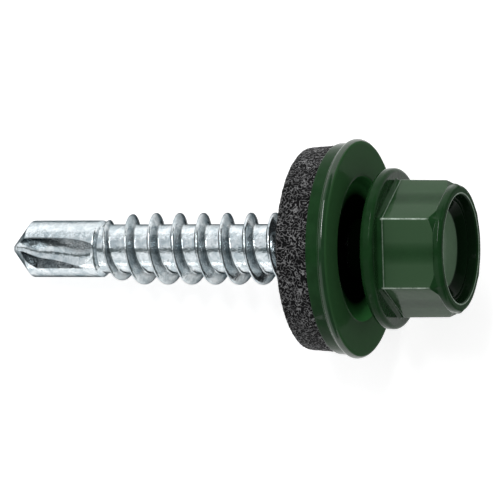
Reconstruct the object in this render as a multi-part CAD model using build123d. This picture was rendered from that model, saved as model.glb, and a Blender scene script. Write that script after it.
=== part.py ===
from build123d import *
import math
import os

# Self drilling screw with a hexagon flange head and a captive sealing washer, in millimetres.
# It is drawn about its own axis first: the flange's bearing face is height 0, the head is above
# it and the shank below. Then it is laid down on its rubber ring's edge and its drill point.

# Hexagon flange head, painted
hex_across_flats = 7.85
hex_corner_turn = -25.3
hex_edge_radius = 0.14
hex_root_bevel = 0.2
head_height = 5.2
corner_chamfer_angle = 50.0
corner_chamfer_start = 4.32
rim_diameter = 8.42
rim_height = 0.58
rim_edge_round = 0.28
flange_diameter = 10.5
flange_thickness = 0.9
flange_edge_round = 0.38

# Indentation in the head's end
recess_mouth_diameter = 7.06
recess_wall_depth = 0.62
recess_wall_foot_diameter = 6.7
recess_ledge_diameter = 6.2
recess_floor_diameter = 5.1
recess_depth = 1.17
recess_mouth_bevel = 0.06

# Shank between the head and the thread
neck_diameter = 3.9
neck_root_bevel = 0.3
neck_end = 5.55
neck_taper_length = 0.6

# Thread, right-hand
thread_diameter = 4.75
core_diameter = 3.25
thread_pitch = 1.69
thread_root_width = 0.92
thread_crest_width = 0.2
thread_start = 20.75
thread_lead_in = 3.3
thread_full_end = 6.9
thread_run_out = 1.2
thread_phase_turn = -90.0
thread_phase_crest = 9.304

# Drill point, forged with two flutes
drill_diameter = 3.79
drill_start = 19.7
drill_step_length = 0.3
point_end = 26.4
point_half_angle = 52.0
chisel_width = 0.44
flute_end = 20.0
flute_run_out = 0.75
flute_run_out_depth_share = 0.05
flute_web = 1.0
flute_wall_foot_share = 1.08
flute_wall_lean = 22.0
flute_rake_foot_share = 1.45
flute_rake_lean = 4.0
flute_rear_edge_at_point = 26.0
flute_rear_edge_at_end = 8.0
flute_lip_edge = -43.0

# Sealing washer: pressed steel with a bonded rubber ring, both loose on the neck
washer_gap = 1.55
washer_rim_diameter = 14.4
washer_face_diameter = 13.43
washer_rim_height = 0.6
washer_rim_widest_depth = 0.33
washer_skirt_top_diameter = 13.9
washer_skirt_foot_diameter = 13.8
washer_height = 1.45
washer_sheet = 0.8
dish_diameter = 9.5
dish_wall_width = 0.45
dish_depth = 0.5
dish_edge_round = 0.3
washer_bore_clearance = 0.25
seal_top_diameter = 13.6
seal_foot_diameter = 13.26
seal_thickness = 2.16
seal_bore_clearance = 0.1
washer_turn = 2.22

# Flats that a rounded edge is turned with
round_steps = 3

# Depth that the thread's ridge is rooted in the core, the head in the shank, and a cut runs past a face
ridge_depth = 0.06
shank_overlap = 0.2
cut_over = 0.5


def turned(profile):
    """Solid of revolution about the screw's axis from edges drawn as (radius, height)."""
    return revolve(Plane.XZ * make_face(profile), Axis.Z)


def rounded(start, middle, end):
    """Points along the arc through three points, a few flats that stand for the round."""
    arc = ThreePointArc(start, middle, end)
    return [tuple(arc @ (step / round_steps))[:2] for step in range(round_steps + 1)]


def rounded_disc(diameter, low, high, edge_round):
    """Disc between two heights with both of its edges rounded."""
    edge = diameter / 2
    inner = edge - edge_round
    sink = edge_round * (1 - math.sqrt(0.5))
    lower = rounded((inner, low), (edge - sink, low + sink), (edge, low + edge_round))
    upper = rounded((edge, high - edge_round), (edge - sink, high - sink), (inner, high))
    return turned(Polyline((0, low), *lower, *upper, (0, high), (0, low)))


def hexagon_head():
    """Hexagon with chamfered corners, under a rolled rim that stands out over its flats."""
    half = hex_across_flats / 2
    corner = half / math.cos(math.radians(30))
    rise = math.tan(math.radians(corner_chamfer_angle))
    rim_middle = rim_diameter / 2 - rim_edge_round
    wide = flange_diameter / 2
    slope_foot = (wide, corner_chamfer_start - (wide - corner) * rise)
    slope_top = corner_chamfer_start + (corner - rim_middle) * rise
    cap = turned(
        Polyline((0, 0), (wide, 0), slope_foot, (rim_middle, slope_top), (0, slope_top), (0, 0))
    )
    prism = extrude(RegularPolygon(half, 6, major_radius=False), head_height)
    prism = fillet(prism.edges().filter_by(Axis.Z), hex_edge_radius)
    rim = rounded_disc(rim_diameter, head_height - rim_height, head_height, rim_edge_round)
    return Rot(0, 0, hex_corner_turn) * (prism & cap) + rim


def head_recess():
    """Stepped indentation that is left in the head's end by forging."""
    top = head_height
    ledge = top - recess_wall_depth
    return turned(
        Polyline(
            (0, top + cut_over),
            (recess_mouth_diameter / 2 + recess_mouth_bevel, top + cut_over),
            (recess_mouth_diameter / 2 + recess_mouth_bevel, top),
            (recess_mouth_diameter / 2, top - recess_mouth_bevel),
            (recess_wall_foot_diameter / 2, ledge),
            (recess_ledge_diameter / 2, ledge),
            (recess_floor_diameter / 2, top - recess_depth),
            (0, top - recess_depth),
            (0, top + cut_over),
        )
    )


def painted_head():
    """Flange and hexagon in one, with the bevel between them and the indentation."""
    head = rounded_disc(flange_diameter, 0, flange_thickness, flange_edge_round) + hexagon_head()
    near = hex_root_bevel / 2
    on_flange = head.edges().filter_by_position(Axis.Z, flange_thickness - near, flange_thickness + near)
    head = chamfer([edge for edge in on_flange if edge.length < hex_across_flats], hex_root_bevel)
    return head - head_recess()


def drill_shoulder():
    """Distance from the bearing face to where the drill's cone begins."""
    return point_end - (drill_diameter - chisel_width) / 2 / math.tan(math.radians(point_half_angle))


def plain_shank():
    """Neck, core and drill blank as one turned body, down to the chisel edge."""
    neck = neck_diameter / 2
    core = core_diameter / 2
    drill = drill_diameter / 2
    chisel = chisel_width / 2
    return turned(
        Polyline(
            (0, shank_overlap),
            (neck + neck_root_bevel, shank_overlap),
            (neck + neck_root_bevel, 0),
            (neck, -neck_root_bevel),
            (neck, -neck_end),
            (core, -neck_end - neck_taper_length),
            (core, -drill_start),
            (drill, -drill_start - drill_step_length),
            (drill, -drill_shoulder()),
            (chisel, -point_end),
            (0, -point_end),
            (0, shank_overlap),
        )
    )


def ridge_profile():
    """Half width and radius of the thread ridge, from its root over its crest."""
    root = core_diameter / 2 - ridge_depth
    crest = thread_diameter / 2
    return [
        (-thread_root_width / 2, root),
        (-thread_crest_width / 2, crest),
        (thread_crest_width / 2, crest),
        (thread_root_width / 2, root),
    ]


def ridge_length(low, high, sink_low, sink_high):
    """Thread ridge between two heights, sunk below its full form by the given depth at each end."""
    length = high - low
    cone = math.degrees(math.atan2(sink_low - sink_high, length))
    pitch = thread_pitch / math.cos(math.radians(cone))
    curves = [
        Pos(0, 0, offset) * Edge.make_helix(pitch, length, radius - sink_low, angle=cone)
        for offset, radius in ridge_profile()
    ]
    pairs = list(zip(curves, curves[1:] + curves[:1]))
    sides = [Face.make_surface_from_curves(one, other) for one, other in pairs]
    ends = [
        Face(Wire([Edge.make_line(one @ at, other @ at) for one, other in pairs]))
        for at in (0, 1)
    ]
    crest_turn = thread_phase_turn + 360 * (low + thread_phase_crest) / thread_pitch
    return Pos(0, 0, low) * Rot(0, 0, crest_turn) * Solid(Shell(sides + ends))


def thread_ridges():
    """Lead-in, full thread and run-out, which meet at their end faces."""
    height = (thread_diameter - core_diameter) / 2
    start = -thread_start
    full = start + thread_lead_in
    end = -thread_full_end
    run_out_sink = (thread_diameter - neck_diameter) / 2 + ridge_depth
    return [
        ridge_length(start, full, height + ridge_depth, 0),
        ridge_length(full, end, 0, 0),
        ridge_length(end, end + thread_run_out, 0, run_out_sink),
    ]


def flute_section(height, rear_edge, depth_share):
    """Closed outline of one flute across the axis, between its rear edge and its cutting lip."""
    outer = drill_diameter / 2
    web = flute_web / 2

    def at(radius, turn):
        sunk = outer - (outer - radius) * depth_share
        return (sunk * math.cos(math.radians(turn)), -sunk * math.sin(math.radians(turn)))

    wall_foot = at(flute_wall_foot_share * web, rear_edge - flute_wall_lean)
    floor = at(web, (rear_edge + flute_lip_edge) / 2)
    rake_foot = at(flute_rake_foot_share * web, flute_lip_edge + flute_rake_lean)
    rear = (outer * math.cos(math.radians(rear_edge)), -outer * math.sin(math.radians(rear_edge)))
    lip = (outer * math.cos(math.radians(flute_lip_edge)), -outer * math.sin(math.radians(flute_lip_edge)))
    rear_out = (2 * rear[0], 2 * rear[1])
    lip_out = (2 * lip[0], 2 * lip[1])
    outline = [rear_out, rear, wall_foot, floor, rake_foot, lip, lip_out, rear_out]
    return Pos(0, 0, height) * make_face(Polyline(*outline))


def flute():
    """Space of one flute, deepest at the point and running out towards the thread."""
    point = flute_section(-point_end - cut_over, flute_rear_edge_at_point, 1.0)
    end = flute_section(-flute_end - flute_run_out, flute_rear_edge_at_end, 1.0)
    run_out = flute_section(-flute_end, flute_rear_edge_at_end, flute_run_out_depth_share)
    return loft([point, end], ruled=True) + loft([end, run_out], ruled=True)


def screw():
    """The whole forged and rolled screw, one piece from the head to the point."""
    body = plain_shank() + painted_head()
    for ridge in thread_ridges():
        body = body + ridge
    cutter = flute()
    return body - cutter - Rot(0, 0, 180) * cutter


def metal_washer():
    """Pressed steel washer: flat face, rolled rim, stepped skirt and a dished middle."""
    face = -washer_gap
    foot = face - washer_height
    rim = washer_rim_diameter / 2
    flat = washer_face_diameter / 2
    skirt_top = washer_skirt_top_diameter / 2
    skirt_foot = washer_skirt_foot_diameter / 2
    bore = neck_diameter / 2 + washer_bore_clearance
    edge = dish_diameter / 2
    dish = edge - dish_wall_width
    rolled = rounded((flat, face), (rim, face - washer_rim_widest_depth), (skirt_top, face - washer_rim_height))
    return turned(
        Polyline(
            (bore, face - dish_depth),
            (dish, face - dish_depth),
            (edge - dish_edge_round * dish_wall_width / dish_depth, face - dish_edge_round),
            (edge + dish_edge_round, face),
            *rolled,
            (skirt_foot, foot),
            (skirt_foot - washer_sheet, foot),
            (skirt_foot - washer_sheet, face - washer_sheet),
            (edge, face - washer_sheet),
            (dish, face - dish_depth - washer_sheet),
            (bore, face - dish_depth - washer_sheet),
            (bore, face - dish_depth),
        )
    )


def epdm_seal():
    """Rubber ring bonded under the steel washer, filling its underside."""
    face = -washer_gap
    top = face - washer_height
    foot = top - seal_thickness
    skirt = washer_skirt_foot_diameter / 2 - washer_sheet
    edge = dish_diameter / 2
    dish = edge - dish_wall_width
    bore = neck_diameter / 2 + seal_bore_clearance
    return turned(
        Polyline(
            (bore, face - dish_depth - washer_sheet),
            (dish, face - dish_depth - washer_sheet),
            (edge, face - washer_sheet),
            (skirt, face - washer_sheet),
            (skirt, top),
            (seal_top_diameter / 2, top),
            (seal_foot_diameter / 2, foot),
            (bore, foot),
            (bore, face - dish_depth - washer_sheet),
        )
    )


def lying():
    """Place that lays the screw on its rubber ring's edge and its lower flute's edges, head towards +X."""
    full_flute = flute_end + flute_run_out
    share = (drill_shoulder() - full_flute) / (point_end + cut_over - full_flute)
    rear_edge = flute_rear_edge_at_end + (flute_rear_edge_at_point - flute_rear_edge_at_end) * share
    half_opening = math.radians((rear_edge - flute_lip_edge) / 2)
    roll = math.radians((rear_edge + flute_lip_edge) / 2)
    edge_drop = drill_diameter / 2 * math.cos(half_opening)
    along = drill_shoulder() - (washer_gap + washer_height + seal_thickness)
    tilt = math.atan2(seal_foot_diameter / 2 - edge_drop, along)
    axis = Vector(math.cos(tilt), 0, math.sin(tilt))
    upper_side = Vector(-math.sin(tilt) * math.cos(roll), -math.sin(roll), math.cos(tilt) * math.cos(roll))
    return Plane(origin=(0, 0, 0), x_dir=upper_side, z_dir=axis)


def main():
    """Builds the three pieces, lays them down and writes one file for each."""
    os.makedirs("parts", exist_ok=True)
    place = lying()
    pieces = {
        "screw": place * screw(),
        "metal_washer": place * Rot(0, 0, washer_turn) * metal_washer(),
        "epdm_seal": place * Rot(0, 0, washer_turn) * epdm_seal(),
    }
    box = Compound(children=[Compound([piece]) for piece in pieces.values()]).bounding_box()
    shift = Pos(-box.center().X, -box.center().Y, -box.min.Z)
    for name, piece in pieces.items():
        placed = shift * piece
        export_step(placed, f"parts/{name}.step")
        print(name, "volume", round(placed.volume, 3), "valid", placed.is_valid)
    print("bearing face centre", shift.position, "axis", place.z_dir, "upper side", place.x_dir)


main()
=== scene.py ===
"""Looks of the self drilling screw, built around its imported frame.

The pieces are drawn in the screw's own frame, in millimetres: the flange's bearing face is height 0, the
head is above it and the shank below, and a turn is counted about the axis from the photographed side.
"""

import logging
import math
from dataclasses import dataclass
from enum import Enum
from typing import Iterable, Sequence

import bmesh
import bpy
import numpy as np
from mathutils import Matrix, Vector

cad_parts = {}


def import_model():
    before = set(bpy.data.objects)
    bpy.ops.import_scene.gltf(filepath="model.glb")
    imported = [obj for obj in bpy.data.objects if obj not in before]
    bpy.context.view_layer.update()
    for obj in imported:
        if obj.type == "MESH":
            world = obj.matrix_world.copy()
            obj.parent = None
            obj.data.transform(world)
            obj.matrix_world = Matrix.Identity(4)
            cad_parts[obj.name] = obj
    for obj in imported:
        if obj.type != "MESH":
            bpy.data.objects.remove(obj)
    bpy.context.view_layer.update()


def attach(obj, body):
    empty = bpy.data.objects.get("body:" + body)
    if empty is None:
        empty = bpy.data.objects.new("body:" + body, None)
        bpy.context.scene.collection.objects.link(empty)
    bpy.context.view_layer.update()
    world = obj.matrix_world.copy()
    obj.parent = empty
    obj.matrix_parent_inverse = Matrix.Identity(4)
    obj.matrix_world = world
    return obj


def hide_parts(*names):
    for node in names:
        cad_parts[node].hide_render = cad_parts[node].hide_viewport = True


log = logging.getLogger("screw")

MILLIMETRE = 0.001
CORNER_FILL = 0.94
GUARD_SHARE = 0.3
MERGE_DISTANCE = 1e-5
FULL_TURN = 2 * math.pi
HALF_SIDE = math.radians(30)
FIRST_CORNER_DEGREES = -25.3
Corner = tuple[float, float, float]
Band = tuple[float, float]
Row = tuple[float, ...]
Colour = tuple[float, float, float, float]
Socket = bpy.types.NodeSocket


class Slot(str, Enum):
    """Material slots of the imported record."""

    PAINT = "green_paint"
    PLATE = "zinc_plated_steel"
    RUBBER = "black_rubber"


class Body(str, Enum):
    """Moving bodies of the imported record."""

    SCREW = "screw_body"
    WASHER = "sealing_washer"


class Ends(Enum):
    """How a skin of rings is closed."""

    POLES = "poles"
    LOOP = "loop"


@dataclass(frozen=True)
class Lie:
    """How the screw lies in the shared frame."""

    bearing_centre: Vector = Vector((9.82585, 0.0, 7.68954))
    axis: Vector = Vector((0.969711, 0.0, 0.244254))
    upper_side: Vector = Vector((-0.239647, 0.193324, 0.951418))

    def matrix(self) -> Matrix:
        """Turns the screw's own millimetres into the frame's metres."""
        side = self.axis.cross(self.upper_side)
        turn = Matrix((self.upper_side, side, self.axis)).transposed().to_4x4()
        return Matrix.Translation(self.bearing_centre * MILLIMETRE) @ turn @ Matrix.Scale(MILLIMETRE, 4)

    def across(self) -> Vector:
        """Direction across the screw that is up in the photograph."""
        return self.upper_side.cross(self.axis)

    def own_frame(self, wiring: "Wiring") -> Socket:
        """Object coordinates turned into the screw's own millimetres."""
        matrix = self.matrix()
        place = wiring.node("ShaderNodeMapping", vector_type="TEXTURE")
        place.inputs["Location"].default_value = matrix.to_translation()
        place.inputs["Rotation"].default_value = matrix.to_euler()
        place.inputs["Scale"].default_value = (MILLIMETRE,) * 3
        wiring.link(wiring.node("ShaderNodeTexCoord").outputs["Object"], place.inputs["Vector"])
        return place.outputs["Vector"]


LIE = Lie()


class Wiring:
    """Adds and links the nodes of one tree."""

    def __init__(self, tree: bpy.types.NodeTree) -> None:
        """Keeps the tree.

        Args:
            tree: The tree to fill.
        """
        self.tree = tree

    def node(self, kind: str, **settings: object) -> bpy.types.Node:
        """Adds a node.

        Args:
            kind: The node's type.
            **settings: Properties to set on it.

        Returns:
            The new node.
        """
        made = self.tree.nodes.new(kind)
        for name, value in settings.items():
            setattr(made, name, value)
        return made

    def link(self, source: Socket, target: Socket) -> None:
        """Links an output to an input."""
        self.tree.links.new(source, target)

    def feed(self, target: Socket, value: object) -> None:
        """Links a socket, or sets a constant."""
        if isinstance(value, bpy.types.NodeSocket):
            self.link(value, target)
        else:
            target.default_value = value

    def calc(self, operation: str, *values: object) -> Socket:
        """Adds a Math node.

        Args:
            operation: What it works out.
            *values: Numbers or sockets, in the node's order.

        Returns:
            The result.
        """
        made = self.node("ShaderNodeMath", operation=operation)
        for target, value in zip(made.inputs, values):
            self.feed(target, value)
        return made.outputs[0]

    def span(self, value: Socket, low: object, high: object, to_low: object, to_high: object,
             smooth: bool = False) -> Socket:
        """Adds a Map Range node that stays within its ends.

        Args:
            value: What is mapped.
            low: Start of the range.
            high: End of the range.
            to_low: Result at the start.
            to_high: Result at the end.
            smooth: Whether the ends are eased.

        Returns:
            The mapped value.
        """
        kind = "SMOOTHSTEP" if smooth else "LINEAR"
        made = self.node("ShaderNodeMapRange", interpolation_type=kind)
        for target, given in zip(made.inputs, (value, low, high, to_low, to_high)):
            self.feed(target, given)
        return made.outputs[0]

    def above(self, value: Socket, band: Band) -> Socket:
        """Masks what lies above a band."""
        return self.span(value, *band, 0.0, 1.0)

    def below(self, value: Socket, band: Band) -> Socket:
        """Masks what lies below a band."""
        return self.span(value, *band, 1.0, 0.0)

    def product(self, *masks: Socket) -> Socket:
        """Masks what all the given masks share."""
        result = masks[0]
        for mask in masks[1:]:
            result = self.calc("MULTIPLY", result, mask)
        return result

    def noise(self, where: Socket, scale: float, detail: float = 2.0, roughness: float = 0.5,
              distortion: float = 0.0) -> Socket:
        """Adds a Noise Texture.

        Args:
            where: Coordinates.
            scale: Cells in a unit.
            detail: Finer layers.
            roughness: Share of the finer layers.
            distortion: How far the cells are pulled about.

        Returns:
            Its grey value.
        """
        made = self.node("ShaderNodeTexNoise")
        for name, value in (("Vector", where), ("Scale", scale), ("Detail", detail),
                            ("Roughness", roughness), ("Distortion", distortion)):
            self.feed(made.inputs[name], value)
        return made.outputs[0]

    def dot(self, given: Socket, way: Vector) -> Socket:
        """Works out how far a vector points along a direction.

        Args:
            given: The vector.
            way: The direction, one unit long.

        Returns:
            The share, from -1 to 1.
        """
        made = self.node("ShaderNodeVectorMath", operation="DOT_PRODUCT")
        self.link(given, made.inputs[0])
        made.inputs[1].default_value = way
        return made.outputs["Value"]

    def polar(self, where: Socket) -> tuple[Socket, Socket, Socket]:
        """Splits own coordinates into radius, height and turn.

        Args:
            where: Coordinates in the screw's own frame.

        Returns:
            Distance from the axis, height along it and angle round it.
        """
        split = self.node("ShaderNodeSeparateXYZ")
        self.link(where, split.inputs[0])
        radius = self.calc("SQRT", self.calc("MULTIPLY_ADD", split.outputs[0], split.outputs[0],
                                             self.calc("MULTIPLY", split.outputs[1], split.outputs[1])))
        return radius, split.outputs[2], self.calc("ARCTAN2", split.outputs[1], split.outputs[0])

    def blend(self, share: object, first: object, second: object) -> Socket:
        """Mixes two colours.

        Args:
            share: How much of the second.
            first: Colour at share 0.
            second: Colour at share 1.

        Returns:
            The mixed colour.
        """
        made = self.node("ShaderNodeMix", data_type="RGBA")
        self.feed(made.inputs[0], share)
        self.feed(made.inputs[6], first)
        self.feed(made.inputs[7], second)
        return made.outputs[2]

    def bump(self, height: Socket, distance: float, strength: float = 1.0,
             normal: Socket | None = None) -> Socket:
        """Adds a Bump node.

        Args:
            height: Height from 0 to 1.
            distance: Real height in metres.
            strength: Share of it that shows.
            normal: Normal to start from.

        Returns:
            The bumped normal.
        """
        made = self.node("ShaderNodeBump")
        made.inputs["Distance"].default_value = distance
        made.inputs["Strength"].default_value = strength
        self.link(height, made.inputs["Height"])
        if normal is not None:
            self.link(normal, made.inputs["Normal"])
        return made.outputs["Normal"]


def colour(red: float, green: float, blue: float) -> Colour:
    """Linear colour from screen values between 0 and 255."""
    def linear(value: float) -> float:
        """One channel."""
        share = value / 255
        return share / 12.92 if share <= 0.04045 else ((share + 0.055) / 1.055) ** 2.4
    return (linear(red), linear(green), linear(blue), 1.0)


@dataclass(frozen=True)
class Finish:
    """A named surface that is made once."""

    name: str

    def shader(self) -> tuple[bpy.types.Material, Wiring, bpy.types.Node]:
        """Starts the material.

        Returns:
            The material, its wiring and its Principled node.
        """
        material = bpy.data.materials.new(self.name)
        material.use_nodes = True
        wiring = Wiring(material.node_tree)
        return material, wiring, material.node_tree.nodes["Principled BSDF"]


@dataclass(frozen=True)
class Lacquer(Finish):
    """Moss green lacquer: painted highlights on the edges, painted light on some faces, painted shade in the
    hollows, matt on the washer's face.
    """

    gloss: float = 0.09
    flange_share: float = 0.5
    washer_gloss: float = 0.05
    bead_gloss: float = 0.5
    matt_gloss: float = 0.004
    recess_matt: float = 0.9
    roughness: Band = (0.06, 0.12)
    dish_roughness: float = 0.4
    deep: Colour = colour(22, 51, 25)
    worn: Colour = colour(28, 59, 31)
    dust: Colour = colour(66, 86, 66)
    # Colour of the painted highlights along the edges.
    pale: Colour = colour(186, 202, 188)
    # A lighter green for the hexagon's sides, painted light.
    side: Colour = colour(55, 80, 56)
    clouds: Band = (0.38, 0.66)
    dust_specks: Band = (0.70, 0.78)
    dust_share: float = 0.2
    # A lighter green for the washer's face, painted light.
    face: Colour = colour(44, 78, 46)
    # The next two colours are painted shade in the dish under the flange, from its edge to the neck.
    dish_shade_outer: Colour = colour(56, 116, 62)
    dish_shade_inner: Colour = colour(1, 4, 1)
    # The next two colours are the recess's painted shade on its wall and painted light on its floor.
    recess_wall_shade: Colour = colour(10, 25, 12)
    recess_floor_light: Colour = colour(90, 114, 91)
    side_foot: Band = (1.25, 1.4)
    side_top: Band = (4.6, 4.7)
    side_radius: Band = (3.9, 4.0)
    side_lean: Band = (0.08, 0.3)
    flange_top: Band = (0.9, 1.2)
    ring_end: Band = (5.1, 5.17)
    recess_edge: Band = (3.48, 3.56)
    recess_foot: Band = (3.6, 3.9)
    bottom_edge: Band = (2.5, 2.6)
    washer_top: Band = (-1.3, -1.1)
    face_top: Band = (-1.5, -1.3)
    face_foot: Band = (-1.66, -1.60)
    bead_foot: Band = (-2.2, -2.1)
    dish_edge: Band = (4.72, 4.78)
    dish_top: Band = (0.0, 0.3)
    dish_slope: Band = (3.5, 4.62)
    corner_width: Band = (0.02, 0.10)
    corner_foot: Band = (1.05, 1.20)
    corner_top: Band = (4.20, 4.35)
    corner_radius: Band = (4.2, 4.3)
    fine_line: Band = (0.01, 0.06)
    mouth_line: float = 3.61
    mouth_height: Band = (5.05, 5.12)
    mouth_share: float = 0.7
    foot_line: float = 1.22
    foot_radius: Band = (4.6, 4.7)
    foot_share: float = 0.35
    peel_height: float = 0.00003
    grit_height: float = 0.000004

    def build(self) -> bpy.types.Material:
        """Makes the lacquer.

        Returns:
            The material.
        """
        material, wiring, surface = self.shader()
        where = LIE.own_frame(wiring)
        radius, height, turn = wiring.polar(where)
        cloud = wiring.noise(where, scale=0.9, detail=4.0, roughness=0.6)
        base = wiring.blend(wiring.above(cloud, self.clouds), self.deep, self.worn)
        specks = wiring.noise(where, scale=9.0, detail=3.0, roughness=0.65)
        base = wiring.blend(wiring.span(specks, *self.dust_specks, 0.0, self.dust_share), base, self.dust)
        # Painted highlights: pale lacquer along the hexagon's six corners and foot and the recess's mouth
        # stands in for glints on the rounded edges.
        edge = self.painted_edge_highlights(wiring, radius, height, turn, where)
        base = wiring.blend(edge, base, self.pale)
        # Painted light: the hexagon's sides get a lighter green, as if more light fell on them.
        lean = wiring.dot(wiring.node("ShaderNodeNewGeometry").outputs["Normal"], LIE.axis)
        side = wiring.product(wiring.above(height, self.side_foot), wiring.below(height, self.side_top),
                              wiring.above(radius, self.side_radius), wiring.below(lean, self.side_lean),
                              wiring.below(edge, (0.0, 1.0)))
        base = wiring.blend(side, base, self.side)
        # Painted light: the washer's face gets a lighter green, as if more light fell on it.
        face = wiring.product(wiring.above(height, self.face_foot), wiring.below(height, self.face_top))
        base = wiring.blend(face, base, self.face)
        # Painted shade: the dish under the flange darkens towards the neck, as the flange's shadow.
        dish = wiring.product(wiring.below(radius, self.dish_edge), wiring.below(height, self.dish_top))
        dish_painted_shade = wiring.blend(wiring.below(radius, self.dish_slope), self.dish_shade_outer, self.dish_shade_inner)
        base = wiring.blend(dish, base, dish_painted_shade)
        # Painted light and shade in the recess: its wall is painted dark as shade, its floor a paler green as
        # light.
        recess = wiring.product(wiring.below(radius, self.recess_edge),
                                wiring.above(height, self.recess_foot))
        inside = wiring.blend(wiring.below(radius, self.bottom_edge), self.recess_wall_shade, self.recess_floor_light)
        wiring.link(wiring.blend(recess, base, inside), surface.inputs["Base Color"])
        gloss = self.shine(wiring, height, face, recess)
        wiring.link(wiring.span(dish, 0.0, 1.0, gloss, 0.0), surface.inputs["Specular IOR Level"])
        rough = wiring.span(wiring.noise(where, scale=2.6, detail=3.0), 0.3, 0.75, *self.roughness)
        rough = wiring.calc("MULTIPLY_ADD", dish, self.dish_roughness, rough)
        wiring.link(rough, surface.inputs["Roughness"])
        peel = wiring.bump(wiring.noise(where, scale=2.2), self.peel_height, 0.35)
        grit = wiring.bump(wiring.noise(where, scale=14.0), self.grit_height, 0.4, peel)
        wiring.link(grit, surface.inputs["Normal"])
        return material

    def shine(self, wiring: Wiring, height: Socket, face: Socket, recess: Socket) -> Socket:
        """Wires how strongly the lacquer mirrors.

        Args:
            wiring: The material's wiring.
            height: Height along the axis.
            face: Mask of the washer's face.
            recess: Mask of the head's recess.

        Returns:
            The specular level outside the dish.
        """
        washer = wiring.span(height, *self.bead_foot, self.washer_gloss, self.bead_gloss)
        head = wiring.product(wiring.span(height, *self.flange_top, self.flange_share, 1.0), self.gloss)
        gloss = wiring.span(height, *self.washer_top, washer, head)
        matt = wiring.calc("MAXIMUM", face, wiring.above(height, self.ring_end))
        matt = wiring.calc("MAXIMUM", matt, wiring.calc("MULTIPLY", recess, self.recess_matt))
        return wiring.span(matt, 0.0, 1.0, gloss, self.matt_gloss)

    def painted_edge_highlights(
        self, wiring: Wiring, radius: Socket, height: Socket, turn: Socket, where: Socket,
    ) -> Socket:
        """Wires the painted highlights along the edges: the hexagon's six corners and its foot, and the mouth
        of the recess.

        Args:
            wiring: The material's wiring.
            radius: Distance from the axis.
            height: Height along the axis.
            turn: Angle round the axis.
            where: Coordinates in the screw's own frame.

        Returns:
            How strongly the painted highlight shows, from 0 to 1.
        """
        off = wiring.calc("SUBTRACT", turn, math.radians(FIRST_CORNER_DEGREES))
        off = wiring.calc("ABSOLUTE", wiring.calc("WRAP", off, HALF_SIDE, -HALF_SIDE))
        off = wiring.calc("MULTIPLY", off, radius)
        corner = wiring.product(wiring.span(off, *self.corner_width, 1.0, 0.0, True),
                                wiring.above(height, self.corner_foot), wiring.below(height, self.corner_top),
                                wiring.above(radius, self.corner_radius))
        off = wiring.calc("ABSOLUTE", wiring.calc("SUBTRACT", radius, self.mouth_line))
        mouth = wiring.product(wiring.span(off, *self.fine_line, self.mouth_share, 0.0),
                               wiring.above(height, self.mouth_height))
        off = wiring.calc("ABSOLUTE", wiring.calc("SUBTRACT", height, self.foot_line))
        foot = wiring.product(wiring.span(off, *self.fine_line, self.foot_share, 0.0),
                              wiring.below(radius, self.foot_radius))
        line = wiring.calc("MAXIMUM", wiring.calc("MAXIMUM", corner, mouth), foot)
        patches = wiring.noise(where, scale=3.5, detail=4.0, roughness=0.7)
        return wiring.calc("MULTIPLY", line, wiring.span(patches, 0.3, 0.6, 0.4, 0.95))


@dataclass(frozen=True)
class ZincPlate(Finish):
    """Bright zinc plate on rolled and forged steel, with painted shade and a rougher surface where the mesh's
    shade attribute marks it.
    """

    bright: Colour = colour(240, 245, 247)
    dull: Colour = colour(190, 201, 206)
    stain: Colour = colour(98, 110, 113)
    # Dark grey of the painted shade.
    shade_grey: Colour = colour(34, 42, 45)
    grazing: Colour = colour(40, 50, 53)
    clouds: Band = (0.36, 0.64)
    stains: Band = (0.58, 0.72)
    stain_share: float = 0.6
    roughness: Band = (0.06, 0.15)
    shade_roughness: float = 0.2
    dent_height: float = 0.00006
    grain_height: float = 0.00001

    def build(self) -> bpy.types.Material:
        """Makes the plate.

        Returns:
            The material.
        """
        material, wiring, surface = self.shader()
        where = LIE.own_frame(wiring)
        cloud = wiring.noise(where, scale=1.4, detail=5.0, roughness=0.62, distortion=0.4)
        base = wiring.blend(wiring.above(cloud, self.clouds), self.bright, self.dull)
        marks = wiring.noise(where, scale=4.5, detail=4.0, roughness=0.7, distortion=0.8)
        base = wiring.blend(wiring.span(marks, *self.stains, 0.0, self.stain_share), base, self.stain)
        # Painted shade: the shade attribute darkens the thread's roots and flanks and the flute's wall and
        # rake, and makes them rougher.
        shade = wiring.node("ShaderNodeAttribute", attribute_name="shade").outputs["Fac"]
        flecks = wiring.noise(where, scale=9.0, detail=4.0, roughness=0.75)
        shade = wiring.calc("MULTIPLY", shade, wiring.span(flecks, 0.38, 0.60, 1.0, 0.6))
        wiring.link(wiring.blend(shade, base, self.shade_grey), surface.inputs["Base Color"])
        rough = wiring.span(wiring.noise(where, scale=3.2, detail=4.0), 0.3, 0.7, *self.roughness)
        rough = wiring.calc("MULTIPLY_ADD", shade, self.shade_roughness, rough)
        wiring.link(rough, surface.inputs["Roughness"])
        surface.inputs["Metallic"].default_value = 1.0
        surface.inputs["Specular Tint"].default_value = self.grazing
        dents = wiring.bump(wiring.noise(where, scale=3.0, detail=3.0, roughness=0.55), self.dent_height, 0.5)
        grain = wiring.bump(wiring.noise(where, scale=16.0), self.grain_height, 0.6, dents)
        wiring.link(grain, surface.inputs["Normal"])
        return material


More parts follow.
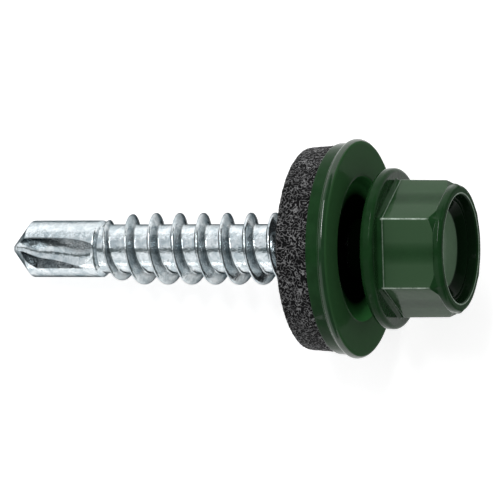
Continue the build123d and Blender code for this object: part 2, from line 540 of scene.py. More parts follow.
@dataclass(frozen=True)
class GrainedRubber(Finish):
    """Charcoal rubber with a fine moulded grain, paler on its ridges."""

    deep: Colour = colour(5, 5, 6)
    ridge: Colour = colour(136, 136, 137)
    middle: float = 0.5
    ridge_width: Band = (0.02, 0.10)
    roughness: Band = (0.75, 0.5)
    gloss: float = 0.12
    ridge_height: float = 0.00006

    def build(self) -> bpy.types.Material:
        """Makes the rubber.

        Returns:
            The material.
        """
        material, wiring, surface = self.shader()
        where = LIE.own_frame(wiring)
        cells = wiring.noise(where, scale=5.2, detail=0.0, distortion=0.2)
        off = wiring.calc("ABSOLUTE", wiring.calc("SUBTRACT", cells, self.middle))
        worms = wiring.below(off, self.ridge_width)
        patches = wiring.span(wiring.noise(where, scale=1.6, detail=3.0), 0.35, 0.65, 0.45, 1.0)
        base = wiring.blend(wiring.calc("MULTIPLY", worms, patches), self.deep, self.ridge)
        wiring.link(base, surface.inputs["Base Color"])
        wiring.link(wiring.span(worms, 0.0, 1.0, *self.roughness), surface.inputs["Roughness"])
        surface.inputs["Specular IOR Level"].default_value = self.gloss
        wiring.link(wiring.bump(worms, self.ridge_height, 0.9), surface.inputs["Normal"])
        return material


@dataclass(frozen=True)
class Backdrop(Finish):
    """Pale floor that looks white to the camera and keeps the shadow."""

    lift: float = 0.6
    grey: Colour = (0.82, 0.82, 0.82, 1.0)
    white: Colour = (1.0, 1.0, 1.0, 1.0)
    roughness: float = 0.9

    def build(self) -> bpy.types.Material:
        """Makes the floor's surface.

        Returns:
            The material.
        """
        material, wiring, surface = self.shader()
        surface.inputs["Base Color"].default_value = self.grey
        surface.inputs["Roughness"].default_value = self.roughness
        surface.inputs["Specular IOR Level"].default_value = 0.0
        path = wiring.node("ShaderNodeLightPath")
        seen = wiring.calc("MAXIMUM", path.outputs["Is Camera Ray"], path.outputs["Is Glossy Ray"])
        seen = wiring.calc("MAXIMUM", seen, path.outputs["Is Transmission Ray"])
        surface.inputs["Emission Color"].default_value = self.white
        wiring.link(wiring.calc("MULTIPLY", seen, self.lift), surface.inputs["Emission Strength"])
        return material


def eased(value: float, low: float, high: float) -> float:
    """Smooth share of the way between two values, from 0 to 1."""
    share = min(1.0, max(0.0, (value - low) / (high - low)))
    return share * share * (3 - 2 * share)


def softened(corners: Sequence[Corner], steps: int = 6, guard: float = 0.03) -> np.ndarray:
    """Rounds the corners of an outline and guards its straight runs.

    Args:
        corners: Radius, height and rounding of each corner.
        steps: Chords in each rounding.
        guard: Distance from a run's end to the point that keeps the run straight.

    Returns:
        Radius and height of each point, in order.
    """
    points = [np.array(corner[:2]) for corner in corners]
    runs = [after - before for before, after in zip(points, points[1:])]
    lengths = [float(np.linalg.norm(run)) for run in runs]
    ways = [run / length for run, length in zip(runs, lengths)]
    halves = [math.acos(max(-1.0, min(1.0, float(-one @ other)))) / 2 for one, other in zip(ways, ways[1:])]
    wanted = [0.0] + [corner[2] / math.tan(half) for corner, half in zip(corners[1:-1], halves)] + [0.0]
    shares = [min(1.0, CORNER_FILL * length / max(1e-9, one + other))
              for length, one, other in zip(lengths, wanted, wanted[1:])]
    arcs: list[list[np.ndarray]] = []
    for index, corner in enumerate(corners):
        at = points[index]
        if corner[2] <= 0 or index in (0, len(corners) - 1):
            arcs.append([at])
            continue
        before, after, half = -ways[index - 1], ways[index], halves[index - 1]
        reach = wanted[index] * min(shares[index - 1], shares[index])
        radius = reach * math.tan(half)
        middle = before + after
        centre = at + middle / np.linalg.norm(middle) * radius / math.sin(half)
        start, end = at + before * reach - centre, at + after * reach - centre
        sweep = math.atan2(start[0] * end[1] - start[1] * end[0], float(start @ end))
        arc = []
        for step in range(steps + 1):
            turn = sweep * step / steps
            arc.append(centre + np.array((
                start[0] * math.cos(turn) - start[1] * math.sin(turn),
                start[0] * math.sin(turn) + start[1] * math.cos(turn),
            )))
        arcs.append(arc)
    outline = list(arcs[0])
    for arc in arcs[1:]:
        start, end = outline[-1], arc[0]
        run = float(np.linalg.norm(end - start))
        share = min(GUARD_SHARE, guard / run) if run > 0 else GUARD_SHARE
        outline += [start + (end - start) * at for at in (share, 1 - share)]
        outline += arc
    return np.array(outline)


def resampled(line: np.ndarray, count: int) -> np.ndarray:
    """Spreads points evenly along a line.

    Args:
        line: Points of the line.
        count: How many points come out.

    Returns:
        Evenly spread points, ends included.
    """
    steps = np.linalg.norm(np.diff(line, axis=0), axis=1)
    length = np.concatenate([[0.0], np.cumsum(steps)])
    wanted = np.linspace(0.0, length[-1], count)
    return np.stack([np.interp(wanted, length, line[:, axis]) for axis in (0, 1)], axis=-1)


def woven(count: int, around: int, loop: bool) -> list[tuple[int, ...]]:
    """Faces between neighbouring rings of points.

    Args:
        count: How many rings.
        around: Points in each ring.
        loop: Whether the last ring joins the first.

    Returns:
        The point numbers of each face.
    """
    faces = []
    for ring in range(count if loop else count - 1):
        low, high = ring * around, (ring + 1) % count * around
        faces += [(low + i, low + (i + 1) % around, high + (i + 1) % around, high + i) for i in range(around)]
    return faces


def skin(name: str, rings: np.ndarray, ends: Ends, material: bpy.types.Material,
         shade: np.ndarray | None = None) -> bpy.types.Object:
    """Makes a closed smooth mesh over rings of points and lays it in the shared frame.

    Args:
        name: Name of the piece.
        rings: Points by ring and by place round it, in the screw's own millimetres.
        ends: Whether the rings end in two poles or close on themselves.
        material: Finish of the piece.
        shade: Painted shade of each point, from 0 to 1.

    Returns:
        The new object.
    """
    count, around = rings.shape[:2]
    points = rings.reshape(-1, 3).tolist()
    faces = woven(count, around, ends is Ends.LOOP)
    if ends is Ends.POLES:
        for ring in (0, count - 1):
            pole = len(points)
            points.append(rings[ring].mean(axis=0).tolist())
            faces += [(ring * around + i, ring * around + (i + 1) % around, pole) for i in range(around)]
    mesh = bpy.data.meshes.new(name)
    mesh.from_pydata(points, [], faces)
    if shade is not None:
        values = np.zeros(len(points), dtype=np.float32)
        values[:shade.size] = shade.reshape(-1)
        mesh.attributes.new("shade", "FLOAT", "POINT").data.foreach_set("value", values)
    return settled(name, mesh, material)


def settled(name: str, mesh: bpy.types.Mesh, material: bpy.types.Material | None = None) -> bpy.types.Object:
    """Turns a mesh's faces outwards, lays it in the shared frame and links it.

    Args:
        name: Name of the piece.
        mesh: Closed mesh in the screw's own millimetres.
        material: Finish, unless the mesh has one.

    Returns:
        The new object.
    """
    work = bmesh.new()
    work.from_mesh(mesh)
    bmesh.ops.remove_doubles(work, verts=work.verts, dist=MERGE_DISTANCE)
    bmesh.ops.recalc_face_normals(work, faces=work.faces)
    work.transform(LIE.matrix())
    work.to_mesh(mesh)
    work.free()
    mesh.shade_smooth()
    if material is not None:
        mesh.materials.clear()
        mesh.materials.append(material)
    mesh.name = name
    made = bpy.data.objects.new(name, mesh)
    bpy.context.scene.collection.objects.link(made)
    return made


def revolved(outline: np.ndarray, around: int) -> np.ndarray:
    """Rings of an outline turned about the axis.

    Args:
        outline: Radius and height of each point.
        around: Points round each ring.

    Returns:
        Points by ring and by place round it.
    """
    turns = np.arange(around) / around * FULL_TURN
    radius, height = outline[:, :1], outline[:, 1:]
    return np.stack([radius * np.cos(turns), radius * np.sin(turns), height + 0 * turns], axis=-1)


class GeometryTree:
    """A Geometry Nodes group with named inputs, run once on an object."""

    SOCKETS = {float: "NodeSocketFloat", int: "NodeSocketInt"}

    def __init__(self, name: str, inputs: dict[str, float | int | bpy.types.Material]) -> None:
        """Starts the group.

        Args:
            name: Name of the group.
            inputs: Value of each named input.
        """
        self.group = bpy.data.node_groups.new(name, "GeometryNodeTree")
        self.values = inputs
        face = self.group.interface
        face.new_socket("Geometry", in_out="OUTPUT", socket_type="NodeSocketGeometry")
        face.new_socket("Geometry", in_out="INPUT", socket_type="NodeSocketGeometry")
        self.identifiers = {
            key: face.new_socket(
                key, in_out="INPUT", socket_type=self.SOCKETS.get(type(value), "NodeSocketMaterial")
            ).identifier
            for key, value in inputs.items()
        }
        self.wiring = Wiring(self.group)
        self.given = self.wiring.node("NodeGroupInput").outputs

    def end(self, geometry: Socket) -> None:
        """Realizes, paints and puts out the geometry."""
        real = self.wiring.node("GeometryNodeRealizeInstances")
        paint = self.wiring.node("GeometryNodeSetMaterial")
        self.wiring.link(geometry, real.inputs[0])
        self.wiring.link(real.outputs[0], paint.inputs["Geometry"])
        self.wiring.link(self.given["Finish"], paint.inputs["Material"])
        self.wiring.link(paint.outputs[0], self.wiring.node("NodeGroupOutput").inputs[0])

    def run(self, start: bpy.types.Mesh) -> bpy.types.Mesh:
        """Runs the group on a mesh.

        Args:
            start: Mesh that goes in.

        Returns:
            The plain mesh that comes out.
        """
        carrier = bpy.data.objects.new("carrier", start)
        bpy.context.scene.collection.objects.link(carrier)
        modifier = carrier.modifiers.new("nodes", "NODES")
        modifier.node_group = self.group
        for key, value in self.values.items():
            modifier[self.identifiers[key]] = value
        ready = carrier.evaluated_get(bpy.context.evaluated_depsgraph_get())
        plain = bpy.data.meshes.new_from_object(ready)
        carrier.modifiers.remove(modifier)
        bpy.data.objects.remove(carrier)
        return plain


def dress(piece: bpy.types.Object, body: Body, slot: Slot, *nodes: str) -> None:
    """Puts a finished piece on its body.

    Args:
        piece: The piece.
        body: Body that it moves with.
        slot: Slot of its finish; not used.
        *nodes: Solids that it stands for.
    """
    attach(piece, body.value)
    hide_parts(*nodes)
    log.info("%s: %d points on %s", piece.name, len(piece.data.vertices), body.value)


@dataclass
class PaintedHead:
    """Indented hexagon head with its flange."""

    finish: bpy.types.Material
    flat: float = 3.925
    edge_radius: float = 0.22
    corner_draft: float = 0.05
    top: float = 5.2
    flange_radius: float = 5.25
    flange_thickness: float = 0.9
    flange_round: float = 0.42
    flange_lip: float = 0.26
    root_at_flat: float = 0.30
    root_at_corner: float = 0.13
    neck: float = 1.965
    painted_neck: float = 1.9
    chamfer_start: float = 4.28
    chamfer_rise: float = 1.05
    flat_end: float = 4.62
    corner_fullness: float = 0.2
    rim: float = 4.15
    rim_at_corner: float = 4.25
    rim_foot: float = 4.68
    rim_foot_at_corner: float = 4.84
    mouth: float = 3.53
    wall_foot: float = 3.35
    ledge: float = 3.1
    floor: float = 2.55
    ledge_depth: float = 0.62
    depth: float = 1.17
    pole_radius: float = 0.3
    neck_foot_round: float = 0.05
    neck_round: float = 0.3
    shoulder_round: float = 0.05
    rim_foot_round: float = 0.2
    rim_round: float = 0.28
    rim_draft: float = 0.03
    mouth_round: float = 0.12
    ledge_round: float = 0.1
    floor_round: float = 0.16
    corner_reach: float = 1.6
    crowding: float = 1.6
    side_steps: int = 84

    def wall_radius(self, turn: float) -> float:
        """Radius of the rounded hexagon.

        Args:
            turn: Angle from the nearest corner, in radians.

        Returns:
            The radius there.
        """
        round_off = self.edge_radius
        centre = (self.flat - round_off) / math.cos(HALF_SIDE)
        end = math.atan2(round_off * math.sin(HALF_SIDE), centre + round_off * math.cos(HALF_SIDE))
        if abs(turn) >= end:
            return self.flat / math.cos(HALF_SIDE - abs(turn))
        return centre * math.cos(turn) + math.sqrt(round_off**2 - (centre * math.sin(turn)) ** 2)

    def outline(self, turn: float) -> np.ndarray:
        """Outline from under the flange to the middle of the indentation.

        Args:
            turn: Angle from the nearest corner, in radians.

        Returns:
            Radius and height of each point.
        """
        wall = self.wall_radius(turn)
        corner = self.flat / math.cos(HALF_SIDE)
        share = (corner - wall) / (corner - self.flat)
        root = self.root_at_corner + (self.root_at_flat - self.root_at_corner) * share
        shoulder = min(self.chamfer_start + (corner - wall) * self.chamfer_rise, self.flat_end)
        near = max(0.0, 1 - share * self.corner_reach) ** 2
        rim = self.rim + (self.rim_at_corner - self.rim) * near
        rim_foot = self.rim_foot + (self.rim_foot_at_corner - self.rim_foot) * near
        return softened([
            (self.pole_radius, -self.painted_neck, 0.0),
            (self.neck, -self.painted_neck, self.neck_foot_round),
            (self.neck, 0.0, self.neck_round),
            (self.flange_radius, 0.0, self.flange_round),
            (self.flange_radius, self.flange_thickness, self.flange_lip),
            (wall, self.flange_thickness, root),
            (wall - self.corner_draft * near, shoulder, self.shoulder_round + self.corner_fullness * near),
            (rim, rim_foot, self.rim_foot_round),
            (rim - self.rim_draft * near, self.top, self.rim_round),
            (self.mouth, self.top, self.mouth_round),
            (self.wall_foot, self.top - self.ledge_depth, self.ledge_round),
            (self.ledge, self.top - self.ledge_depth, self.ledge_round),
            (self.floor, self.top - self.depth, self.floor_round),
            (self.pole_radius, self.top - self.depth, 0.0),
        ])

    def build(self) -> bpy.types.Object:
        """Makes the head.

        Returns:
            The piece.
        """
        steps = (np.arange(self.side_steps) + 0.5) / self.side_steps * 2 - 1
        turns = HALF_SIDE * np.sign(steps) * np.abs(steps) ** self.crowding
        outlines = np.stack([self.outline(float(turn)) for turn in turns], axis=1)
        sides = []
        for side in range(6):
            angle = turns + math.radians(FIRST_CORNER_DEGREES + 60 * side)
            radius, height = outlines[..., 0], outlines[..., 1]
            sides.append(np.stack([radius * np.cos(angle), radius * np.sin(angle), height], axis=-1))
        return skin("painted_head", np.concatenate(sides, axis=1), Ends.POLES, self.finish)

    def dress(self, piece: bpy.types.Object) -> None:
        """Puts the head on the screw."""
        dress(piece, Body.SCREW, Slot.PAINT, "screw")


@dataclass
class ThreadedShank:
    """Neck, core and rolled thread, made by a rule."""

    finish: bpy.types.Material
    top: float = -1.2
    foot: float = -20.3
    neck: float = 1.95
    neck_end: float = -5.55
    neck_taper: float = 0.6
    core: float = 1.625
    crest: float = 2.375
    pitch: float = 1.69
    root_half: float = 0.38
    crest_half: float = 0.07
    phase: float = 9.36
    start: float = -20.75
    lead_in: float = 3.3
    full_end: float = -6.9
    run_out: float = 1.2
    crest_softness: float = 0.16
    root_softness: float = 0.12
    # The next six set the painted shade: darkest just above the thread's root, less on the flanks, least on
    # the crests.
    flank_foot: Band = (0.0, 0.06)
    root_shade_depth: float = 0.8
    flank_start: Band = (0.1, 0.3)
    flank_shade_fall: float = 0.45
    crest_start: Band = (0.85, 1.0)
    crest_shade_fall: float = 0.2
    pole_share: float = 0.0005
    merge_distance: float = 0.0005
    around: int = 132
    along: int = 460

    def tree(self) -> GeometryTree:
        """Wires the thread's rule.

        Returns:
            The Geometry Nodes group.
        """
        made = GeometryTree("rolled_thread", {
            "Neck Radius": self.neck, "Core Radius": self.core, "Crest Radius": self.crest,
            "Pitch": self.pitch, "Root Half Width": self.root_half, "Crest Half Width": self.crest_half,
            "Phase": self.phase, "Top": self.top, "Foot": self.foot, "Neck End": self.neck_end,
            "Neck Taper": self.neck_taper, "Start": self.start,
            "Lead In": self.lead_in, "Full End": self.full_end, "Run Out": self.run_out,
            "Around": self.around, "Along": self.along, "Finish": self.finish,
        })
        w, given = made.wiring, made.given
        grid = w.node("GeometryNodeMeshGrid")
        w.feed(grid.inputs["Size X"], 1.0)
        w.feed(grid.inputs["Size Y"], 1.0)
        w.link(given["Around"], grid.inputs["Vertices X"])
        w.link(given["Along"], grid.inputs["Vertices Y"])
        place = w.node("ShaderNodeSeparateXYZ")
        w.link(w.node("GeometryNodeInputPosition").outputs[0], place.inputs[0])
        turn_share = w.calc("ADD", place.outputs[0], 0.5)
        length_share = w.calc("ADD", place.outputs[1], 0.5)
        height = w.span(length_share, 0.0, 1.0, given["Top"], given["Foot"])
        radius, shade = self.surface(made, turn_share, height)
        radius = w.product(radius, w.product(w.calc("GREATER_THAN", length_share, self.pole_share),
                                             w.calc("LESS_THAN", length_share, 1 - self.pole_share)))
        angle = w.calc("MULTIPLY", turn_share, FULL_TURN)
        point = w.node("ShaderNodeCombineXYZ")
        w.link(w.calc("MULTIPLY", radius, w.calc("COSINE", angle)), point.inputs[0])
        w.link(w.calc("MULTIPLY", radius, w.calc("SINE", angle)), point.inputs[1])
        w.link(height, point.inputs[2])
        keep = w.node("GeometryNodeStoreNamedAttribute", data_type="FLOAT", domain="POINT")
        w.link(grid.outputs[0], keep.inputs["Geometry"])
        w.feed(keep.inputs["Name"], "shade")
        w.link(shade, keep.inputs["Value"])
        move = w.node("GeometryNodeSetPosition")
        w.link(keep.outputs[0], move.inputs["Geometry"])
        w.link(point.outputs[0], move.inputs["Position"])
        merge = w.node("GeometryNodeMergeByDistance")
        w.link(move.outputs[0], merge.inputs["Geometry"])
        w.feed(merge.inputs["Distance"], self.merge_distance)
        made.end(merge.outputs[0])
        return made

    def surface(self, made: GeometryTree, turn_share: Socket, height: Socket) -> tuple[Socket, Socket]:
        """Wires the shank's surface.

        Args:
            made: The group.
            turn_share: Place round the axis, from 0 to 1.
            height: Height along the axis.

        Returns:
            The radius there, and the painted shade along the thread's roots and flanks.
        """
        w, given = made.wiring, made.given
        taper_end = w.calc("SUBTRACT", given["Neck End"], given["Neck Taper"])
        body = w.span(height, taper_end, given["Neck End"], given["Core Radius"], given["Neck Radius"], True)
        turns = w.calc("DIVIDE", w.calc("ADD", height, given["Phase"]), given["Pitch"])
        turns = w.calc("SUBTRACT", w.calc("SUBTRACT", turns, turn_share), 0.25)
        off = w.calc("WRAP", turns, 0.5, -0.5)
        off = w.calc("MULTIPLY", w.calc("ABSOLUTE", off), given["Pitch"])
        ridge = w.calc("DIVIDE", w.calc("SUBTRACT", given["Root Half Width"], off),
                       w.calc("SUBTRACT", given["Root Half Width"], given["Crest Half Width"]))
        ridge = w.calc("SMOOTH_MIN", ridge, 1.0, self.crest_softness)
        depth = w.calc("SUBTRACT", given["Crest Radius"], given["Core Radius"])
        ridge = w.calc("MULTIPLY_ADD", ridge, depth, given["Core Radius"])
        lead_end = w.calc("ADD", given["Start"], given["Lead In"])
        sink = w.span(height, given["Start"], lead_end, depth, 0.0)
        run_end = w.calc("ADD", given["Full End"], given["Run Out"])
        sink = w.calc("ADD", sink, w.span(height, given["Full End"], run_end, 0.0, depth))
        radius = w.calc("SMOOTH_MAX", w.calc("SUBTRACT", ridge, sink), body, self.root_softness)
        rise = w.calc("DIVIDE", w.calc("SUBTRACT", radius, body), depth)
        # Painted shade: darkest just above the thread's root, less on the flanks and least on the crests.
        dull = w.span(rise, *self.flank_foot, 0.0, self.root_shade_depth)
        dull = w.calc("SUBTRACT", dull, w.span(rise, *self.flank_start, 0.0, self.flank_shade_fall))
        return radius, w.calc("SUBTRACT", dull, w.span(rise, *self.crest_start, 0.0, self.crest_shade_fall))

    def build(self) -> bpy.types.Object:
        """Makes the shank.

        Returns:
            The piece.
        """
        return settled("threaded_shank", self.tree().run(bpy.data.meshes.new("empty")))

    def dress(self, piece: bpy.types.Object) -> None:
        """Puts the shank on the screw."""
        dress(piece, Body.SCREW, Slot.PLATE, "screw")


@dataclass
class DrillPoint:
    """Forged drill point with two flutes.

    The lower flute stays fully open almost to the tip, so that its lip doesn't reach below the surface
    that the screw lies on.
    """

    finish: bpy.types.Material
    core: float = 1.6
    radius: float = 1.895
    start: float = 19.7
    step_end: float = 20.0
    tip: float = 26.4
    half_angle: float = 48.5
    chisel: float = 0.22
    flute_end: float = 19.72
    flute_full: float = 20.2
    places: Row = (19.7, 20.0, 20.6, 21.4, 22.2, 23.1, 24.2, 24.6, 25.0, 25.5, 26.9)
    rear_edge: Row = (0.0, 0.27, 0.46, 0.60, 0.66, 0.69, 0.70, 0.70, 0.71, 0.72, 0.75)
    wall_run: Row = (0.4, 0.6, 0.95, 1.0, 0.85, 0.65, 0.42, 0.38, 0.39, 0.40, 0.40)
    rake_edge: Row = (-1.27, -1.27, -1.26, -1.11, -0.91, -0.74, -0.60, -0.50, -0.37, -0.20, -0.1)
    upper_lip: Row = (-1.28, -1.28, -1.28, -1.28, -1.28, -1.28, -1.28, -0.98, -0.66, -0.26, -0.15)
    lower_lip: Row = (-1.28, -1.28, -1.28, -1.28, -1.28, -1.28, -1.28, -1.28, -1.28, -0.26, -0.15)
    floor_depth: Row = (1.85, 1.7, 1.45, 1.2, 0.98, 0.78, 0.62, 0.58, 0.54, 0.5, 0.45)
    floor_rise: float = 0.26
    wall_foot_round: float = 0.9
    rake_foot_round: float = 0.05
    wall_fade: float = 0.45
    # Strongest painted shade on the flute's wall.
    wall_shade_depth: float = 0.92
    rake_fade: float = 0.05
    lip_fade: float = 0.1
    seam: float = 24.85
    seam_half: float = 0.2
    untrimmed: float = 0.98
    line_points: int = 72
    land_points: int = 40
    rows: int = 170

    def limit(self, along: float) -> float:
        """Radius of the blank.

        Args:
            along: Distance from the bearing face towards the tip.

        Returns:
            The radius there.
        """
        blank = self.core + (self.radius - self.core) * eased(along, self.start, self.step_end)
        cone = self.chisel + (self.tip - along) * math.tan(math.radians(self.half_angle))
        return min(blank, cone)

    def flute(self, along: float, lips: Row) -> np.ndarray:
        """Flute's line across the axis, from its rear edge to its lip.

        Args:
            along: Distance from the bearing face towards the tip.
            lips: Where its lip runs, at each place.

        Returns:
            Place across the axis and painted shade of each point.
        """
        rows = (self.rear_edge, self.wall_run, self.rake_edge, lips, self.floor_depth)
        rear, run, rake, lip, floor = (float(np.interp(along, self.places, row)) for row in rows)
        depth = eased(along, self.flute_end, self.flute_full)
        corners = [
            (math.sqrt(self.radius**2 - rear**2), -rear, 0.0),
            (floor, run - rear, self.wall_foot_round),
            (floor + self.floor_rise, -rake, self.rake_foot_round),
            (math.sqrt(self.radius**2 - lip**2), -lip, 0.0),
        ]
        line = resampled(softened(corners, 10), self.line_points)
        length = np.linalg.norm(line, axis=1)
        line *= (1 + (self.radius / length - 1) * (1 - depth))[:, None]
        across = -line[:, 1]
        # Painted shade on the flute's wall and rake facet, broken at the seam.
        wall = np.clip((across - (rear - run)) / self.wall_fade, 0.0, self.wall_shade_depth)
        wall *= min(1.0, abs(along - self.seam) / self.seam_half)
        facet = np.clip((rake - across) / self.rake_fade + 0.5, 0.0, 1.0)
        facet *= min(1.0, (rake - lip) / self.lip_fade)
        return np.column_stack([line, np.maximum(wall, facet) * depth])

    def half(self, along: float, lips: Row) -> np.ndarray:
        """One flute's line and the land that follows it.

        Args:
            along: Distance from the bearing face towards the tip.
            lips: Where the flute's lip runs, at each place.

        Returns:
            Place across the axis and painted shade of each point.
        """
        flute = self.flute(along, lips)
        first = math.atan2(flute[-1][1], flute[-1][0])
        last = math.atan2(flute[0][1], flute[0][0]) + math.pi
        turns = np.linspace(first, last, self.land_points + 2)[1:-1]
        land = np.stack([self.radius * np.cos(turns), self.radius * np.sin(turns), 0 * turns], axis=-1)
        return np.concatenate([flute, land])

    def section(self, along: float) -> np.ndarray:
        """Closed outline across the axis.

        Args:
            along: Distance from the bearing face towards the tip.

        Returns:
            Place across the axis and painted shade of each point.
        """
        upper, lower = self.half(along, self.upper_lip), self.half(along, self.lower_lip)
        outline = np.concatenate([upper, lower * (-1, -1, 1)])
        trim = np.minimum(1.0, self.limit(along) / np.linalg.norm(outline[:, :2], axis=1))
        outline[:, :2] *= trim[:, None]
        outline[:, 2] *= trim > self.untrimmed
        return outline

    def build(self) -> bpy.types.Object:
        """Makes the drill point.

        Returns:
            The piece.
        """
        alongs = np.linspace(self.start, self.tip, self.rows)
        sections = np.stack([self.section(float(along)) for along in alongs])
        heights = np.broadcast_to(-alongs[:, None, None], (*sections.shape[:2], 1))
        rings = np.concatenate([sections[..., :2], heights], axis=-1)
        return skin("drill_point", rings, Ends.POLES, self.finish, sections[..., 2])

    def dress(self, piece: bpy.types.Object) -> None:
        """Puts the point on the screw."""
        dress(piece, Body.SCREW, Slot.PLATE, "screw")


@dataclass
class SealingWasher:
    """Pressed steel washer with its bonded rubber ring."""

    paint: bpy.types.Material
    rubber: bpy.types.Material
    face: float = -1.55
    rim: float = 7.18
    rim_widest: float = 0.33
    rim_height: float = 0.6
    skirt_top: float = 6.95
    skirt_foot: float = 6.9
    height: float = 1.45
    sheet: float = 0.8
    dish: float = 4.75
    dish_wall: float = 0.45
    dish_depth: float = 0.5
    bore: float = 2.2
    seal_top: float = 6.74
    seal_foot: float = 6.6
    seal_thickness: float = 2.16
    seal_bore: float = 2.05
    bore_round: float = 0.12
    dish_foot_round: float = 0.25
    dish_round: float = 0.3
    rim_round: float = 0.34
    rim_draft: float = 0.06
    rim_step: float = 0.02
    rim_flat: float = 0.1
    skirt_round: float = 0.08
    bend_round: float = 0.2
    tight_round: float = 0.1
    inner_round: float = 0.05
    seal_round: float = 0.2
    seal_top_round: float = 0.12
    lap_round: float = 0.02
    bore_start: float = 0.4
    bore_end: float = 0.42
    steel_around: int = 240
    rubber_around: int = 560
    rubber_rows: int = 170
    grain_size: float = 0.14
    grain_height: float = 0.1
    grain_level: float = 0.62
    grain_distortion: float = 0.6
    grain_seed: float = 3.0

    def steel_outline(self) -> np.ndarray:
        """Outline of the pressed steel, round its sheet.

        Returns:
            Radius and height of each point.
        """
        foot = self.face - self.height
        inner = self.skirt_foot - self.sheet
        under = self.face - self.sheet
        floor = self.face - self.dish_depth
        dish_foot = self.dish - self.dish_wall
        return softened([
            (self.bore, floor - self.bore_start, 0.0),
            (self.bore, floor, self.bore_round),
            (dish_foot, floor, self.dish_foot_round),
            (self.dish, self.face, self.dish_round),
            (self.rim - self.rim_draft, self.face, self.rim_round),
            (self.rim, self.face - self.rim_widest, self.tight_round),
            (self.rim - self.rim_step, self.face - self.rim_widest - self.rim_flat, self.tight_round),
            (self.skirt_top, self.face - self.rim_height, self.skirt_round),
            (self.skirt_foot, foot, self.tight_round),
            (inner, foot, self.inner_round),
            (inner, under, self.tight_round),
            (self.dish, under, self.bend_round),
            (dish_foot, floor - self.sheet, self.bend_round),
            (self.bore, floor - self.sheet, self.tight_round),
            (self.bore, floor - self.bore_end, 0.0),
        ])

    def rubber_outline(self) -> np.ndarray:
        """Outline of the rubber ring.

        Returns:
            Radius and height of each point.
        """
        top = self.face - self.height
        foot = top - self.seal_thickness
        skirt = self.skirt_foot - self.sheet
        under = self.face - self.sheet
        dish_under = self.face - self.dish_depth - self.sheet
        return softened([
            (self.seal_bore, dish_under - self.bore_start, 0.0),
            (self.seal_bore, dish_under, 0.0),
            (self.dish - self.dish_wall, dish_under, self.tight_round),
            (self.dish, under, self.tight_round),
            (skirt, under, self.inner_round),
            (skirt, top, self.lap_round),
            (self.seal_top, top, self.seal_top_round),
            (self.seal_foot, foot, self.seal_round),
            (self.seal_bore, foot, self.seal_round),
            (self.seal_bore, foot + self.bore_start, 0.0),
        ])

    def grain(self) -> GeometryTree:
        """Wires the rubber's grain.

        Returns:
            The Geometry Nodes group.
        """
        made = GeometryTree("rubber_grain", {
            "Grain Size": self.grain_size, "Grain Height": self.grain_height,
            "Seed": self.grain_seed, "Finish": self.rubber,
        })
        w, given = made.wiring, made.given
        worms = w.node("ShaderNodeTexNoise", noise_dimensions="4D")
        w.link(given["Seed"], worms.inputs["W"])
        w.link(w.calc("DIVIDE", 1.0, given["Grain Size"]), worms.inputs["Scale"])
        w.feed(worms.inputs["Detail"], 1.0)
        w.feed(worms.inputs["Distortion"], self.grain_distortion)
        above = w.calc("SUBTRACT", worms.outputs[0], self.grain_level)
        rise = w.calc("MULTIPLY", above, given["Grain Height"])
        push = w.node("ShaderNodeVectorMath", operation="SCALE")
        w.link(w.node("GeometryNodeInputNormal").outputs[0], push.inputs[0])
        w.link(rise, push.inputs["Scale"])
        move = w.node("GeometryNodeSetPosition")
        w.link(given["Geometry"], move.inputs["Geometry"])
        w.link(push.outputs[0], move.inputs["Offset"])
        made.end(move.outputs[0])
        return made

    def build(self) -> list[bpy.types.Object]:
        """Makes the washer and its ring.

        Returns:
            The steel piece and the rubber piece.
        """
        pressed = revolved(self.steel_outline(), self.steel_around)
        steel = skin("pressed_washer", pressed, Ends.LOOP, self.paint)
        outline = self.rubber_outline()
        dense = resampled(np.vstack([outline, outline[:1]]), self.rubber_rows)[:-1]
        rings = revolved(dense, self.rubber_around)
        plain = bpy.data.meshes.new("ring")
        plain.from_pydata(rings.reshape(-1, 3).tolist(), [], woven(*rings.shape[:2], True))
        ring = settled("rubber_ring", self.grain().run(plain))
        return [steel, ring]

    def dress(self, steel: bpy.types.Object, ring: bpy.types.Object) -> None:
        """Puts both on the sliding washer."""
        dress(steel, Body.WASHER, Slot.PAINT, "metal_washer")
        dress(ring, Body.WASHER, Slot.RUBBER, "epdm_seal")


@dataclass(frozen=True)
class SoftBox:
    """A lit rectangle that faces the screw, placed by side, across and along the axis, in metres."""

    name: str
    towards: tuple[float, float, float]
    distance: float
    size: Band
    radiance: float
    mirrored: bool = True

    def hang(self) -> None:
        """Puts the lamp in the scene."""
        side, across, along = self.towards
        away = (LIE.upper_side * side + LIE.across() * across + LIE.axis * along).normalized()
        light = bpy.data.lights.new(self.name, "AREA")
        light.shape = "RECTANGLE"
        light.size, light.size_y = self.size
        light.energy = self.radiance * math.pi * self.size[0] * self.size[1]
        made = bpy.data.objects.new(self.name, light)
        turn = away.to_track_quat("Z", "Y").to_matrix().to_4x4()
        made.matrix_world = Matrix.Translation(away * self.distance) @ turn
        made.visible_glossy = self.mirrored
        bpy.context.scene.collection.objects.link(made)


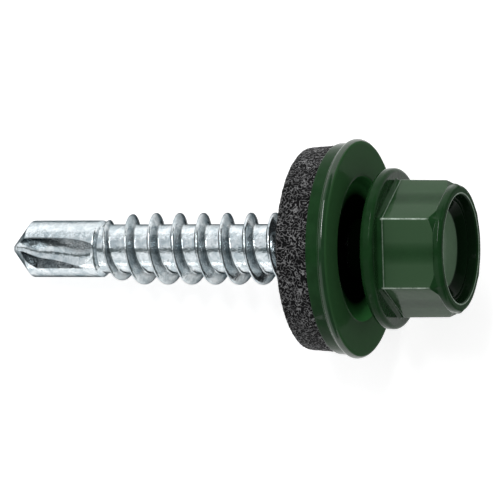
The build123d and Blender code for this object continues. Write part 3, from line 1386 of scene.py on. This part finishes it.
@dataclass
class Studio:
    """Floor, light and camera."""

    floor_size: float = 6.0
    diffuse_sky: Colour = (0.5, 0.5, 0.5, 1.0)
    white: Colour = (1.0, 1.0, 1.0, 1.0)
    low_sky: Colour = (0.95, 0.97, 0.98, 1.0)
    high_sky: Colour = (0.70, 0.73, 0.75, 1.0)
    dark_card: Colour = (0.10, 0.12, 0.12, 1.0)
    sky_slope: Band = (-0.7, 0.5)
    strip_foot: Band = (-0.30, -0.18)
    strip_top: Band = (-0.02, 0.08)
    strip_side: Band = (0.0, 0.2)
    head_card: Band = (0.05, 0.35)
    boxes: tuple[SoftBox, ...] = (
        SoftBox("upper_box", (0.60, 0.75, -0.25), 0.7, (0.6, 0.6), 0.65, False),
        SoftBox("upper_strip", (0.534, 0.763, -0.365), 0.6, (0.025, 0.16), 1.6),
        SoftBox("lower_strip", (0.225, -0.903, -0.365), 0.6, (0.03, 0.16), 4.5),
        SoftBox("head_box", (0.85, 0.51, 0.12), 0.6, (0.06, 0.40), 22.0),
    )
    lens: float = 328.2
    distance: float = 300.0
    view_lean: float = 21.4
    aim_height: float = -9.464
    aim_drop: float = 0.0856

    def floor(self) -> None:
        """Lays the pale floor."""
        half = self.floor_size / 2
        mesh = bpy.data.meshes.new("floor")
        corners = [(-half, -half, 0), (half, -half, 0), (half, half, 0), (-half, half, 0)]
        mesh.from_pydata(corners, [], [(0, 1, 2, 3)])
        mesh.materials.append(Backdrop("pale_floor").build())
        made = bpy.data.objects.new("floor", mesh)
        bpy.context.scene.collection.objects.link(made)

    def sky(self) -> None:
        """Sets the surroundings.

        The camera sees white. Glossy surfaces see a pale sky with a dark strip along the screw and a dark
        card past its head, and diffuse surfaces see an even grey.
        """
        world = bpy.data.worlds.new("studio")
        bpy.context.scene.world = world
        world.use_nodes = True
        wiring = Wiring(world.node_tree)
        ground = world.node_tree.nodes["Background"]
        towards = wiring.node("ShaderNodeTexCoord").outputs["Generated"]
        across = wiring.dot(towards, LIE.across())
        side = wiring.dot(towards, LIE.upper_side)
        along = wiring.dot(towards, LIE.axis)
        strip = wiring.product(wiring.span(across, *self.strip_top, 1.0, 0.0, True),
                               wiring.span(across, *self.strip_foot, 0.0, 1.0, True),
                               wiring.span(side, *self.strip_side, 0.0, 1.0, True))
        card = wiring.calc("MAXIMUM", strip, wiring.span(along, *self.head_card, 0.0, 1.0, True))
        open_sky = wiring.blend(wiring.above(across, self.sky_slope), self.low_sky, self.high_sky)
        mirrored = wiring.blend(card, open_sky, self.dark_card)
        path = wiring.node("ShaderNodeLightPath")
        lit = wiring.blend(path.outputs["Is Diffuse Ray"], mirrored, self.diffuse_sky)
        shown = wiring.blend(path.outputs["Is Camera Ray"], lit, self.white)
        wiring.link(shown, ground.inputs["Color"])
        ground.inputs["Strength"].default_value = 1.0

    def camera(self) -> None:
        """Sets the camera at the photograph's view."""
        lean = math.radians(self.view_lean)
        back = LIE.upper_side * math.cos(lean) + LIE.axis * math.sin(lean)
        right = LIE.axis * math.cos(lean) - LIE.upper_side * math.sin(lean)
        up = LIE.across()
        aim = LIE.bearing_centre + LIE.axis * self.aim_height - up * self.aim_drop
        data = bpy.data.cameras.new("photo_camera")
        data.lens = self.lens
        data.sensor_width = 36.0
        data.clip_start, data.clip_end = 0.01, 20.0
        made = bpy.data.objects.new("photo_camera", data)
        turn = Matrix((right, up, back)).transposed().to_4x4()
        made.matrix_world = Matrix.Translation((aim + back * self.distance) * MILLIMETRE) @ turn
        bpy.context.scene.collection.objects.link(made)
        bpy.context.scene.camera = made

    def build(self) -> None:
        """Sets up the whole studio."""
        self.floor()
        self.sky()
        for box in self.boxes:
            box.hang()
        self.camera()
        bpy.context.scene.view_settings.view_transform = "Standard"


def main() -> None:
    """Builds and dresses every piece in order."""
    logging.basicConfig(level=logging.INFO, format="%(message)s")
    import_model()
    Studio().build()
    paint = Lacquer("moss_green_lacquer").build()
    plate = ZincPlate("bright_zinc").build()
    rubber = GrainedRubber("grained_rubber").build()
    for part in (PaintedHead(paint), ThreadedShank(plate), DrillPoint(plate)):
        part.dress(part.build())
    washer = SealingWasher(paint, rubber)
    washer.dress(*washer.build())


if __name__ == "__main__":
    main()
